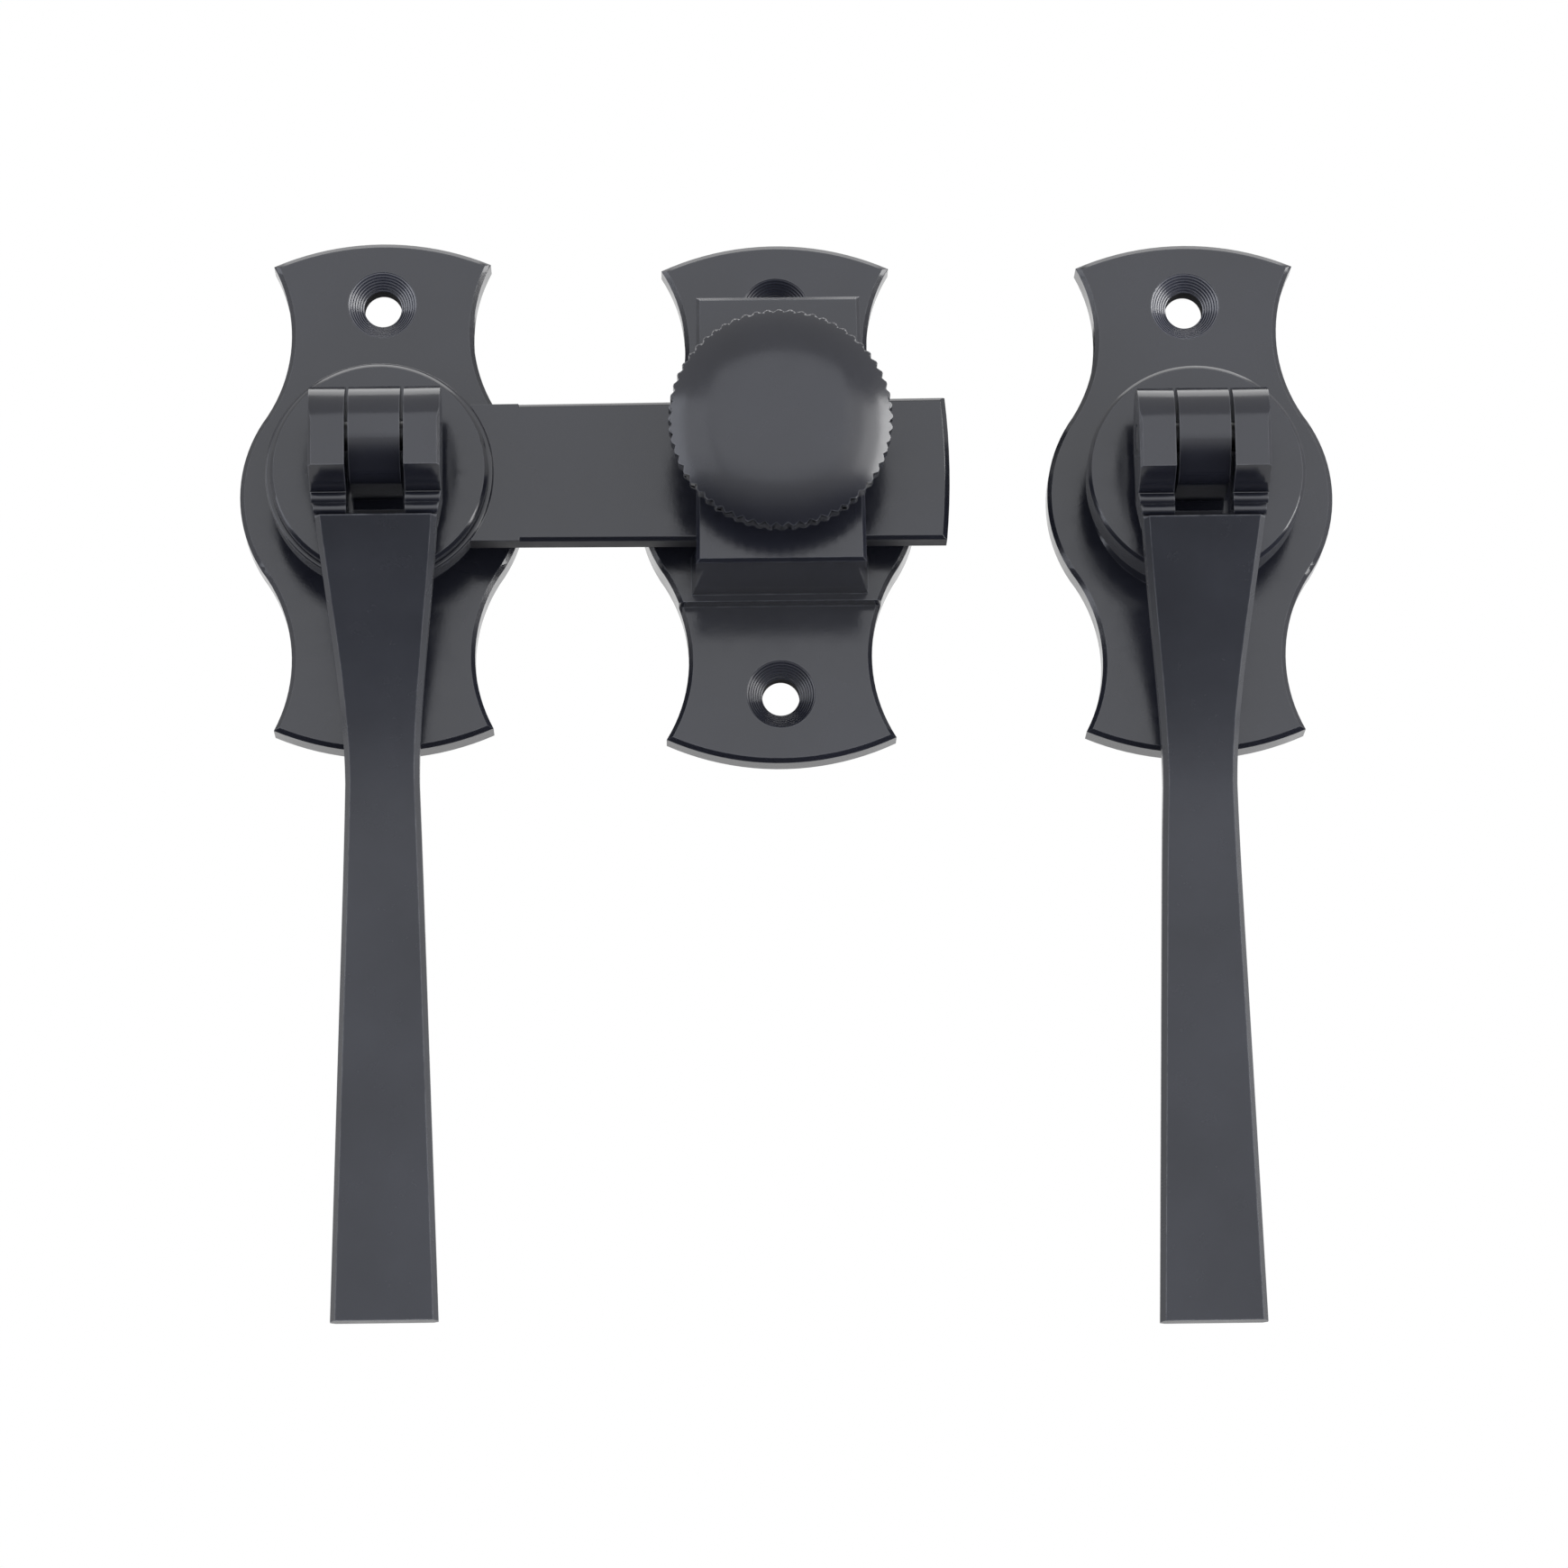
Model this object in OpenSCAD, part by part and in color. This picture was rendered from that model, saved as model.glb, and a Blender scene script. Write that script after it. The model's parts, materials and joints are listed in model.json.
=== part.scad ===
/* [Handle plates] */
// Height of the inner and outer plates
plate_h = 73; // [66:0.5:90]
// Thickness of the inner and outer plates
plate_t = 5; // [4.5:0.25:8]
// Diameter of the round middle of the plates
plate_bulge_d = 39.8; // [36:0.2:48]
// Width of the plates at their two waists
plate_waist_w = 25.4; // [22:0.2:30]
// Radius of the hollow sides at the waists
plate_waist_r = 21.5; // [18:0.5:26]
// Radius of the arched ends
plate_end_r = 38; // [28:1:60]
// Width of the sloping edge round every plate
plate_edge = 0.6; // [0.3:0.1:1]

/* [Wood screw holes] */
// Distance between the two screw holes of a plate
screw_spacing = 55; // [50:0.5:58]
// Diameter of a screw hole
screw_hole_d = 5.2; // [4:0.1:6]
// Diameter of the countersink at the front
screw_head_d = 9.6; // [8:0.1:11]

/* [Bearing of the turning bosses] */
// Diameter of the raised seat in the middle of a handle plate
seat_d = 26; // [24:0.5:29]
// Height of the raised seat over the plate
seat_h = 7.6; // [5:0.1:12]
// Diameter of the round journal of a boss
journal_d = 14; // [12:0.5:16]
// Running clearance on the radius of the journal
journal_fit = 0.05; // [0.02:0.01:0.1]
// Diameter of the recess in the back of a plate
recess_d = 22; // [20:0.5:24]
// Depth of the recess
recess_depth = 3; // [2.6:0.1:3.5]
// Thickness of the flat washer
washer_t = 0.8; // [0.5:0.1:1]
// Thickness of the disc spring's sheet
spring_t = 0.4; // [0.3:0.05:0.6]
// Free rise of the disc spring
spring_rise = 0.25; // [0.1:0.05:0.3]
// Thickness of the retaining ring
ring_t = 0.7; // [0.5:0.1:0.8]
// Depth of the ring's groove on the radius
ring_groove = 0.8; // [0.5:0.1:1]

/* [Bosses] */
// Diameter of the round face of a boss
boss_d = 30; // [27:0.5:34]
// Width of the flat rim round the faintly hollow face
dish_rim = 2.5; // [2:0.1:3.5]
// Thickness of a boss's rim in front of the latch bar
rim_t = 1.6; // [1.2:0.1:3]
// Height of the shadow groove between rim and latch bar
groove_h = 0.5; // [0.3:0.1:1]
// Width of the knuckle that carries the handle
knuckle_w = 7; // [5:0.1:9]
// Diameter of the knuckle and of the handle's ears
barrel_d = 13.5; // [11:0.1:15]
// Height of the hinge pin's axis over the boss's face
pivot_out = 9.8; // [8:0.1:14]
// Height of the hinge pin's axis above the boss's centre
pivot_up = 2; // [0:0.1:4]
// Diameter of the hinge pin
pin_d = 4; // [3:0.1:5]
// Running clearance on the radius of the hinge pin
pin_fit = 0.05; // [0.02:0.01:0.1]

/* [Latch bar] */
// Distance from the boss's centre to the end of the bar
bar_reach = 78.5; // [70:0.5:95]
// Thickness of the bar
bar_t = 4; // [3:0.1:6]
// Width of the bar beside its eye
bar_w = 19.4; // [16:0.1:22]
// Extra width of the bar at its end
bar_flare = 0.8; // [0:0.1:2]
// Diameter of the round eye
eye_d = 31.4; // [30:0.2:35]
// Height of the eye over the bar's face
eye_step = 0.4; // [0.2:0.1:1]
// Width across the flats of the square that drives the bar
drive_w = 14.2; // [14:0.1:17]

/* [Spindle] */
// Width of the square spindle
spindle_w = 7; // [6:0.1:8]
// Length of the spindle behind the door's face
spindle_reach = 52; // [30:1:90]
// Diameter of the cross pin that holds the spindle
cross_pin_d = 2.5; // [2:0.1:3]
// Diameter of the outer boss's grub screw
grub_d = 4; // [3:0.5:5]
// Length of the grub screw
grub_len = 8; // [5:0.5:9]

/* [Drop handles] */
// Width of the forked head
fork_w = 17.8; // [16:0.1:20]
// Side clearance between an ear and the knuckle
ear_gap = 0.5; // [0.2:0.05:0.8]
// Distance from the hinge pin to the top edge of the blade
neck_len = 11.4; // [9.5:0.1:14]
// Distance from the hinge pin to the end of the handle
handle_len = 118.2; // [100:0.1:140]
// Width of the blade at its top edge
blade_top_w = 16.5; // [14:0.1:18]
// Width of the blade at its narrow waist
blade_waist_w = 10.2; // [8:0.1:12]
// Distance from the hinge pin to the narrow waist
blade_waist_at = 44; // [35:0.5:55]
// Distance from the narrow waist to the end of the blade's bend
bend_past_waist = 14; // [8:0.5:20]
// Width of the blade at its end
blade_end_w = 14.7; // [11:0.1:18]
// Thickness of the blade at its top edge
blade_top_t = 6.4; // [5:0.1:8]
// Thickness of the blade at its end
blade_end_t = 3; // [2:0.1:5]
// Height of the lower blade's back over the door
blade_lift = 6; // [5.5:0.1:10]
// Width of the sloping edges of the blade
blade_edge = 0.7; // [0.3:0.05:1]
// Distance from the hinge pin down to the square front corner of an ear
ear_drop = 5.7; // [5:0.1:6.5]
// Distance from the hinge pin to the foot of the ears' underside
ear_foot = 7.9; // [7:0.1:8.2]
// Width of the sloping edge of an ear
ear_edge = 0.4; // [0.2:0.05:0.6]
// Diameter of the two small beads under the ears
bead_d = 1.6; // [1.2:0.1:2.2]
// Distance from the blade's top edge to the lower bead
bead_up = 1.1; // [0.9:0.1:1.3]
// Distance between the two beads
bead_pitch = 1.5; // [1.2:0.1:1.7]

/* [Keeper] */
// Distance from the boss's centre to the keeper's centre
keeper_at = 55; // [50:0.5:65]
// How far the keeper sits below the boss's centre
keeper_drop = 1.4; // [0:0.1:2]
// Height of the keeper's plate
keeper_h = 74.4; // [70:0.2:90]
// Thickness of the keeper's plate
keeper_t = 4.5; // [4:0.25:7]
// Diameter of the round middle of the keeper
keeper_bulge_d = 38.8; // [36:0.2:44]
// Height of the raised pad over the plate
pad_rise = 3; // [1:0.1:4]
// Length of the raised pad
pad_len = 30; // [24:0.5:34]
// Width of the strap at its top
strap_w = 22.4; // [18:0.2:26]
// Extra width of the strap at its bottom
strap_flare = 0.8; // [0:0.1:2]
// Thickness of the strap
strap_t = 4.2; // [3:0.1:6]
// Depth of the throat between pad and strap
throat_depth = 14.4; // [10:0.1:18]
// How far the strap reaches above the boss's centre
strap_top = 22; // [16:0.5:23]
// Thickness of the web under the bar
web_t = 5.2; // [4:0.1:6]
// Clearance between the bar and the web that it rests on
bar_rest_gap = 0.1; // [0.05:0.05:0.3]
// Width of the web beside the strap
web_w = 21.2; // [18:0.2:24]
// Width of the web where it meets the pad
web_foot_w = 24.4; // [20:0.2:26]

/* [Clamp screw] */
// Diameter of the knurled knob
knob_d = 30.4; // [24:0.2:34]
// Number of teeth of the knurl
knurl_teeth = 60; // [40:2:72]
// Depth of the knurl
knurl_depth = 0.45; // [0.2:0.05:0.7]
// Depth by which the knurl's tips are turned flat
knurl_land = 0.12; // [0.05:0.01:0.3]
// Thickness of the knurled rim
knob_rim_t = 3; // [2:0.1:5]
// Rise of the domed face over the rim
dome_rise = 3.6; // [2:0.1:6]
// Height of the hollow cone under the rim
cone_h = 4; // [2:0.1:6]
// Diameter of the collar under the knob
collar_d = 12; // [10.5:0.1:16]
// Gap between collar and strap when the screw is home
collar_gap = 1.5; // [0.5:0.1:3]
// Height of the screw's axis above the boss's centre
screw_up = 2.5; // [0:0.1:5]
// Diameter of the clamp screw
stud_d = 8; // [6:0.5:9]
// Running clearance on the radius of the clamp screw
stud_fit = 0.05; // [0.02:0.01:0.1]
// Gap between the screw's tip and the bar
tip_gap = 0.3; // [0.1:0.1:1]
// Depth to which the screw is held in the knob
stud_hold = 5; // [3:0.1:6]

/* [Layout] */
// Distance from the inner to the outer boss's centre
outer_at = 112.4; // [108:0.2:160]
// How far the outer set sits below the inner boss's centre
outer_drop = 1.4; // [0:0.1:4]

/* [Hidden] */
$fn = 96;

// Small amounts: how far a cutter stands past a face, and how far joined solids sink in
cut = 1;
sink = 0.02;
// Play between parts that are fitted by hand and then turn together
slip = 0.05;

// Heights over the door's face, from the plate outwards
seat_out = plate_t + seat_h;
bar_back = seat_out + 2 * slip;
bar_face = bar_back + bar_t;
eye_face = bar_face + eye_step;
rim_back = eye_face + groove_h;
boss_face = rim_back + rim_t;
pivot_h = boss_face + pivot_out;

// Heights of the pieces in the recess, from its floor towards the door
washer_back = recess_depth - slip - washer_t;
spring_back = washer_back - spring_t - spring_rise;
ring_back = spring_back - ring_t;
journal_end = ring_back / 2;
socket_end = boss_face - rim_t - groove_h - slip;

// Keeper heights over the door, and heights up and down on the door's face
pad_face = keeper_t + pad_rise;
strap_back = pad_face + throat_depth;
strap_face = strap_back + strap_t;
bar_half_end = bar_w / 2 + bar_flare / 2;
web_top = -bar_half_end - bar_rest_gap;
strap_bottom = web_top - web_t;

// Clamp screw heights over the door
stud_tip = bar_face + tip_gap;
collar_back = strap_face + collar_gap;
knob_rim_back = collar_back + cone_h;
knob_rim_face = knob_rim_back + knob_rim_t;
stud_end = collar_back + stud_hold;

// Handle heights over the door
barrel_r = barrel_d / 2;
ear_slot_w = knuckle_w + 2 * ear_gap;
slot_depth = neck_len - 0.4;
neck_face = pivot_h + 0.5;
neck_t = 6;
blade_lip = 1.4;
blade_top_face = neck_face + blade_lip;
blade_low_face = blade_lift + blade_end_t;
blade_steps = 24;
bend_len = blade_waist_at + bend_past_waist - neck_len;

// Turns the drawing frame, with its height outwards, on to the door's face
module on_door() { rotate([90, 0, 0]) children(); }

// Places a piece of the outer set beside the keeper
module at_outer() { translate([outer_at, 0, -outer_drop]) children(); }

// Extrudes a side profile, drawn as up and out, across the handle
module across(width) {
    translate([-width / 2, 0, 0]) rotate([90, 0, 90]) linear_extrude(width) children();
}

// Disc with a sloping edge at its front
module edged_disc(d, h, edge) {
    cylinder(d = d, h = h - edge);
    translate([0, 0, h - edge]) cylinder(d1 = d, d2 = d - 2 * edge, h = edge);
}

// Tool that hollows a side, with a flare that slopes the front edge
module edged_hollow(r, h, edge) {
    translate([0, 0, -cut]) cylinder(r = r, h = h + 2 * cut);
    translate([0, 0, h - edge]) cylinder(r1 = r, r2 = r + edge + cut, h = edge + cut);
}

// Plate with arched ends, two waists and a round middle
module waisted_plate(h, t, bulge_d, waist_w, waist_r, end_r, edge) {
    reach = bulge_d / 2 + waist_r - sink;
    hollow_x = waist_w / 2 + waist_r;
    hollow_y = sqrt(reach * reach - hollow_x * hollow_x);
    block_w = bulge_d * hollow_x / reach;
    edged_disc(bulge_d, t, edge);
    difference() {
        for (end = [-1, 1]) intersection() {
            translate([-block_w / 2, end * h / 4 - h / 4 - sink, 0]) cube([block_w, h / 2 + 2 * sink, t]);
            translate([0, end * (h / 2 - end_r), 0]) edged_disc(2 * end_r, t, edge);
        }
        for (side = [-1, 1], end = [-1, 1])
            translate([side * hollow_x, end * hollow_y, 0]) edged_hollow(waist_r, t, edge);
    }
}

// Two countersunk holes, one above the other
module screw_holes(t) {
    sink_depth = (screw_head_d - screw_hole_d) / 2;
    for (end = [-1, 1]) translate([0, end * screw_spacing / 2, 0]) {
        translate([0, 0, -cut]) cylinder(d = screw_hole_d, h = t + 2 * cut);
        translate([0, 0, t - sink_depth])
            cylinder(d1 = screw_hole_d, d2 = screw_head_d, h = sink_depth);
        translate([0, 0, t - sink]) cylinder(d = screw_head_d, h = cut);
    }
}

// Plate that a boss turns in
module handle_plate() {
    skirt = 1;
    color("#3b3c40") on_door() difference() {
        union() {
            waisted_plate(plate_h, plate_t, plate_bulge_d, plate_waist_w, plate_waist_r,
                plate_end_r, plate_edge);
            translate([0, 0, plate_t - sink]) cylinder(d = seat_d, h = seat_h + sink);
            translate([0, 0, plate_t - sink])
                cylinder(d1 = seat_d + 2 * skirt, d2 = seat_d, h = skirt);
        }
        screw_holes(plate_t);
        translate([0, 0, -cut]) cylinder(r = journal_d / 2 + journal_fit, h = seat_out + 2 * cut);
        translate([0, 0, -cut]) cylinder(d = recess_d, h = recess_depth + cut);
    }
}

// Round journal with the ring's groove and the square socket for the spindle
module journal(top) {
    difference() {
        translate([0, 0, journal_end]) cylinder(d = journal_d, h = top - journal_end);
        translate([0, 0, ring_back]) difference() {
            cylinder(d = journal_d + cut, h = ring_t);
            translate([0, 0, -cut]) cylinder(d = journal_d - 2 * ring_groove, h = ring_t + 2 * cut);
        }
    }
}

// Square hole that the spindle slides into
module spindle_socket() {
    w = spindle_w + 2 * slip;
    translate([-w / 2, -w / 2, -cut]) cube([w, w, socket_end + cut]);
}

// Knuckle that stands out from a boss's face and takes the hinge pin
module knuckle() {
    foot = 1.2;
    root = rim_t / 2;
    difference() {
        union() {
            across(knuckle_w) {
                translate([pivot_up, pivot_h]) circle(d = barrel_d);
                translate([pivot_up - barrel_r, boss_face - root])
                    square([barrel_d, pivot_out + root]);
            }
            across(knuckle_w) translate([pivot_up, boss_face - root]) polygon([
                [-barrel_r - foot, 0], [barrel_r + foot, 0], [barrel_r, foot + root], [-barrel_r, foot + root]
            ]);
        }
        translate([-knuckle_w, pivot_up, pivot_h]) rotate([0, 90, 0])
            cylinder(r = pin_d / 2 + pin_fit, h = 2 * knuckle_w);
    }
}

// Round rim of a boss, with a sloping edge and a faintly hollow face
module boss_rim(back) {
    edge = 0.5;
    dish_r = 160;
    dish_d = boss_d - 2 * dish_rim;
    dish_depth = dish_r - sqrt(dish_r * dish_r - dish_d * dish_d / 4);
    difference() {
        translate([0, 0, back]) edged_disc(boss_d, boss_face - back, edge);
        translate([0, 0, boss_face + dish_r - dish_depth]) sphere(r = dish_r, $fn = 256);
    }
}

module inner_boss() {
    step = 1;
    color("#3b3c40") on_door() difference() {
        union() {
            journal(bar_back);
            translate([-drive_w / 2, -drive_w / 2, bar_back]) cube([drive_w, drive_w, eye_face - bar_back]);
            translate([0, 0, eye_face]) cylinder(d = boss_d - 2 * step, h = groove_h + sink);
            boss_rim(rim_back);
            knuckle();
        }
        spindle_socket();
        translate([-journal_d, 0, seat_out / 2]) rotate([0, 90, 0])
            cylinder(d = cross_pin_d + 2 * slip, h = 2 * journal_d);
    }
}

module outer_boss() {
    color("#3b3c40") at_outer() on_door() difference() {
        union() {
            journal(bar_back + sink);
            boss_rim(bar_back);
            knuckle();
        }
        spindle_socket();
        translate([0, 0, grub_out()]) rotate([-90, 0, 0]) cylinder(d = grub_d + 2 * slip, h = boss_d);
    }
}

// Height of the grub screw's axis over the door
function grub_out() = bar_back + (boss_face - bar_back) / 2;

module washer() {
    inner_r = journal_d / 2 + 4 * slip;
    outer_r = recess_d / 2 - 0.7;
    color("#8b8d92") on_door() translate([0, 0, washer_back]) difference() {
        cylinder(r = outer_r, h = washer_t);
        translate([0, 0, -cut]) cylinder(r = inner_r, h = washer_t + 2 * cut);
    }
}

// Disc spring: a ring of sheet that rises towards its bore
module disc_spring() {
    inner_r = journal_d / 2 + 4 * slip;
    outer_r = recess_d / 2 - 1;
    color("#6f7176") on_door() translate([0, 0, spring_back]) rotate_extrude() polygon([
        [inner_r, 0], [inner_r, spring_t],
        [outer_r, spring_t + spring_rise - slip], [outer_r, spring_rise - slip]
    ]);
}

// Retaining ring with its gap and two lugs
module retaining_ring() {
    gap_w = 3;
    lug_d = 2.6;
    band = 2.1;
    inner_r = journal_d / 2 - ring_groove + slip;
    outer_r = inner_r + band;
    color("#6f7176") on_door() translate([0, 0, ring_back + slip]) linear_extrude(ring_t - 2 * slip)
        difference() {
            union() {
                circle(r = outer_r);
                for (side = [-1, 1]) translate([side * (gap_w + lug_d) / 2, -outer_r]) circle(d = lug_d);
            }
            circle(r = inner_r);
            translate([-gap_w / 2, -2 * outer_r]) square([gap_w, 2 * outer_r]);
            for (side = [-1, 1]) translate([side * (gap_w + lug_d) / 2, -outer_r]) circle(d = 1.2);
        }
}

// Flat bar with a round eye, driven by the square of the boss
module latch_bar() {
    end_r = 100;
    edge = 0.5;
    end_edge = 0.7;
    hole_w = drive_w + 2 * slip;
    eye_in = sqrt(pow(eye_d / 2, 2) - pow(bar_w / 2, 2)) - 1;
    color("#3b3c40") on_door() difference() {
        union() {
            translate([0, 0, bar_back]) edged_disc(eye_d, bar_t + eye_step, eye_step / 2);
            intersection() {
                bar_slope(eye_in, edge);
                translate([bar_reach - end_r, 0, bar_back]) edged_disc(2 * end_r, bar_t, end_edge);
            }
        }
        translate([-hole_w / 2, -hole_w / 2, bar_back - cut]) cube([hole_w, hole_w, bar_t + 2 * cut]);
    }
}

// Tapered length of the bar, with its two long front edges sloped
module bar_slope(start, edge) {
    slope = atan((bar_flare / 2) / (bar_reach - start));
    difference() {
        translate([0, 0, bar_back]) linear_extrude(bar_t) polygon([
            [start, -bar_w / 2], [bar_reach, -bar_half_end],
            [bar_reach, bar_half_end], [start, bar_w / 2]
        ]);
        for (side = [-1, 1]) translate([start, side * bar_w / 2, bar_face]) rotate([0, 0, side * slope])
            rotate([45, 0, 0]) translate([eye_d / 4, -edge / sqrt(2), -edge / sqrt(2)])
                cube([2 * bar_reach, edge * sqrt(2), edge * sqrt(2)]);
    }
}

module spindle() {
    edge = 0.8;
    color("#9a9ca1") on_door() intersection() {
        translate([-spindle_w / 2, -spindle_w / 2, -spindle_reach])
            cube([spindle_w, spindle_w, spindle_reach + socket_end - slip]);
        translate([0, 0, -spindle_reach]) cylinder(d1 = spindle_w * sqrt(2) - 2 * edge,
            d2 = spindle_w * sqrt(2) + 2 * (spindle_reach + socket_end), h = spindle_reach + socket_end + 1);
        difference() {
            translate([0, 0, -spindle_reach - cut])
                cylinder(d = 2 * spindle_w, h = spindle_reach + socket_end + 2 * cut);
            translate([-journal_d, 0, seat_out / 2]) rotate([0, 90, 0])
                cylinder(d = cross_pin_d + 2 * slip, h = 2 * journal_d);
        }
    }
}

module spindle_pin() {
    color("#9a9ca1") on_door() translate([-journal_d / 2 + 4 * slip, 0, seat_out / 2])
        rotate([0, 90, 0]) cylinder(d = cross_pin_d, h = journal_d - 8 * slip);
}

// Grub screw with a six-sided socket, set above the spindle's flat
module grub_screw() {
    key_w = grub_d / 2;
    tip = spindle_w / 2 + 2 * slip + slip;
    color("#55575c") at_outer() on_door() translate([0, tip, grub_out()]) rotate([-90, 0, 0]) difference() {
        edged_disc(grub_d, grub_len, 0.4);
        translate([0, 0, grub_len - key_w]) cylinder(d = key_w, h = key_w + cut, $fn = 6);
    }
}

module hinge_pin() {
    edge = 0.4;
    len = fork_w - 2 * slip;
    color("#3b3c40") on_door() translate([-len / 2, pivot_up, pivot_h]) rotate([0, 90, 0]) {
        translate([0, 0, edge]) cylinder(d = pin_d, h = len - 2 * edge);
        cylinder(d1 = pin_d - 2 * edge, d2 = pin_d, h = edge);
        translate([0, 0, len - edge]) cylinder(d1 = pin_d, d2 = pin_d - 2 * edge, h = edge);
    }
}

// Point of a curve that leaves p0 towards p1 and reaches p3 from p2
function curve(p0, p1, p2, p3, t) =
    p0 * pow(1 - t, 3) + 3 * p1 * t * pow(1 - t, 2) + 3 * p2 * t * t * (1 - t) + p3 * pow(t, 3);

// Shape of the blade at a distance under the hinge pin: half width and thickness
function waist_fall(t) = t * t * (1.9 - 0.9 * t);
function blade_half(d) = d < blade_waist_at
    ? blade_waist_w / 2 + (blade_top_w - blade_waist_w) / 2
        * waist_fall((blade_waist_at - d) / (blade_waist_at - neck_len))
    : blade_waist_w / 2 + (blade_end_w - blade_waist_w) / 2
        * (d - blade_waist_at) / (handle_len - blade_waist_at);
function blade_thick(d) = blade_end_t + (blade_top_t - blade_end_t)
    * pow(max(0, 1 - (d - neck_len) / (handle_len - neck_len)), 2.2);

// Line of the blade's face: distance under the hinge pin and height over the door
function face_line(t) = curve(
    [neck_len, blade_top_face],
    [neck_len + 0.32 * bend_len, blade_top_face - 0.62 * (blade_top_face - blade_low_face)],
    [neck_len + 0.55 * bend_len, blade_low_face + 0.4],
    [neck_len + bend_len, blade_low_face], t);
function stations() = concat([for (i = [0:blade_steps]) face_line(i / blade_steps)],
    [[handle_len, blade_low_face]]);

// Outline at one station: a flat bar whose four long edges slope
function section(s) =
    let (half = blade_half(s[0]), face = s[1], back = s[1] - blade_thick(s[0]), e = blade_edge)
    [
        [-half, back + e], [-half, face - 2 * e], [-half + e, face], [half - e, face],
        [half, face - 2 * e], [half, back + e], [half - e, back], [-half + e, back]
    ];

// Blade lofted through its stations
module blade() {
    line = stations();
    sides = 8;
    last = len(line) - 1;
    points = [for (s = line) for (p = section(s)) [p[0], pivot_up - s[0], p[1]]];
    skin = [for (i = [0:last - 1]) for (k = [0:sides - 1])
        let (a = i * sides + k, b = i * sides + (k + 1) % sides)
        each [[a, b + sides, a + sides], [a, b, b + sides]]];
    top = [for (k = [sides - 1:-1:0]) k];
    end = [for (k = [0:sides - 1]) last * sides + k];
    polyhedron(points = points, faces = concat(skin, [top, end]));
}

// Width of the neck at a distance under the hinge pin
function neck_w(d) = blade_top_w + (fork_w - blade_top_w) * (neck_len - d) / (neck_len - ear_foot);

// Both ears in one: round above the pin, square in front of it and undercut below
module ears() {
    front = pivot_h + barrel_r;
    side = fork_w / 2 + cut;
    bevel_out = front - ear_edge - cut;
    bevel_in = fork_w / 2 - ear_edge - cut;
    intersection() {
        across(fork_w) {
            translate([pivot_up, pivot_h]) circle(d = barrel_d);
            translate([pivot_up, 0]) polygon([
                [0, neck_face - neck_t], [0, front], [-ear_drop, front],
                [-ear_foot, neck_face], [-ear_foot, neck_face - neck_t]
            ]);
        }
        translate([0, pivot_up + barrel_d, 0]) rotate([90, 0, 0]) linear_extrude(2 * barrel_d) polygon([
            [-side, 0], [side, 0], [side, bevel_out], [bevel_in, front + cut],
            [-bevel_in, front + cut], [-side, bevel_out]
        ]);
    }
}

// Neck that narrows from the ears to the blade, its two beads and the root of the blade in it
module neck() {
    root_len = 2;
    root_out = neck_face - neck_t / 2 - blade_lip / 2;
    root_w = blade_top_w - 4 * blade_edge;
    translate([0, pivot_up, neck_face - neck_t]) linear_extrude(neck_t) polygon([
        [-fork_w / 2, sink - ear_foot], [fork_w / 2, sink - ear_foot],
        [blade_top_w / 2, -neck_len - sink], [-blade_top_w / 2, -neck_len - sink]
    ]);
    translate([-root_w / 2, pivot_up - neck_len - root_len, root_out - blade_lip])
        cube([root_w, 2 * root_len, 2 * blade_lip]);
    for (down = [neck_len - bead_up - bead_pitch, neck_len - bead_up])
        across(neck_w(down)) translate([pivot_up - down, neck_face]) circle(d = bead_d);
}

module drop_handle() {
    color("#333438") on_door() difference() {
        union() {
            ears();
            neck();
            blade();
        }
        translate([-ear_slot_w / 2, pivot_up - slot_depth, pivot_h - 2 * barrel_d])
            cube([ear_slot_w, slot_depth + barrel_d, 4 * barrel_d]);
        translate([-fork_w, pivot_up, pivot_h]) rotate([0, 90, 0]) cylinder(d = pin_d, h = 2 * fork_w);
    }
}

// Keeper: plate, raised pad, web and the strap that hooks over the bar
module keeper() {
    color("#3b3c40") translate([keeper_at, 0, 0]) on_door() difference() {
        union() {
            translate([0, -keeper_drop, 0]) keeper_base();
            keeper_web();
            keeper_strap();
        }
        translate([0, -keeper_drop, 0]) screw_holes(keeper_t);
        translate([0, screw_up, strap_back - cut]) cylinder(r = stud_d / 2 + stud_fit, h = strap_t + 2 * cut);
    }
}

module keeper_base() {
    waisted_plate(keeper_h, keeper_t, keeper_bulge_d, plate_waist_w, plate_waist_r,
        plate_end_r, plate_edge);
    intersection() {
        waisted_plate(keeper_h, pad_face, keeper_bulge_d, plate_waist_w, plate_waist_r,
            plate_end_r, plate_edge);
        translate([-keeper_bulge_d, -pad_len / 2, keeper_t - 2 * plate_edge])
            cube([2 * keeper_bulge_d, pad_len, pad_rise + 3 * plate_edge]);
    }
}

module keeper_web() {
    translate([0, web_top, 0]) rotate([90, 0, 0]) linear_extrude(web_t) polygon([
        [-web_foot_w / 2, pad_face - sink], [web_foot_w / 2, pad_face - sink],
        [web_w / 2, strap_back + sink], [-web_w / 2, strap_back + sink]
    ]);
}

module keeper_strap() {
    edge = 0.5;
    bottom_w = strap_w + strap_flare;
    translate([0, 0, strap_back]) linear_extrude(strap_t - edge) strap_outline(0, bottom_w);
    hull() {
        translate([0, 0, strap_face - edge - sink]) linear_extrude(sink) strap_outline(0, bottom_w);
        translate([0, 0, strap_face - sink]) linear_extrude(sink) strap_outline(edge, bottom_w);
    }
}

module strap_outline(inset, bottom_w) {
    polygon([
        [-bottom_w / 2 + inset, strap_bottom + inset], [bottom_w / 2 - inset, strap_bottom + inset],
        [strap_w / 2 - inset, strap_top - inset], [-strap_w / 2 + inset, strap_top - inset]
    ]);
}

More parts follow.
